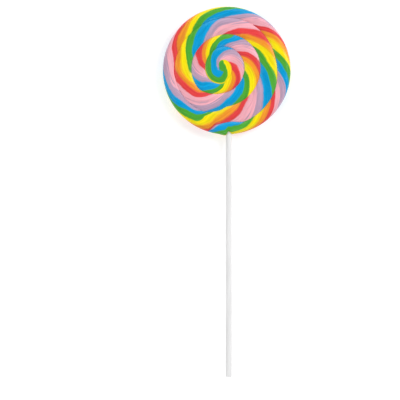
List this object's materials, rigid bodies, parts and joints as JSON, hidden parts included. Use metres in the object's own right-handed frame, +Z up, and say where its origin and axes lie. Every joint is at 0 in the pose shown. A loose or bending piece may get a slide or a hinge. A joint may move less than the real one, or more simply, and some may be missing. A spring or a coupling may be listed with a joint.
{
  "type": "swirl lollipop",
  "caption": "Flat round lollipop: a rainbow striped sugar rope coiled into a pressed disc, on a straight white stick. It lies flat with its swirl facing up.",
  "frame": {"origin": "middle of the disc's underside, on the plane that the lollipop rests on", "axes": "+Z up out of the shown face, -Y along the stick away from the disc, +X to the right with the stick pointing down"},
  "size_m": [0.076, 0.22, 0.0075],
  "materials": {
    "candy": "glossy boiled sugar, striped in pink, lilac, blue, green, yellow, orange and red",
    "stick": "smooth matt white rolled paper"
  },
  "bodies": {
    "root": {"candy": "candy", "stick": "stick"}
  },
  "joints": []
}
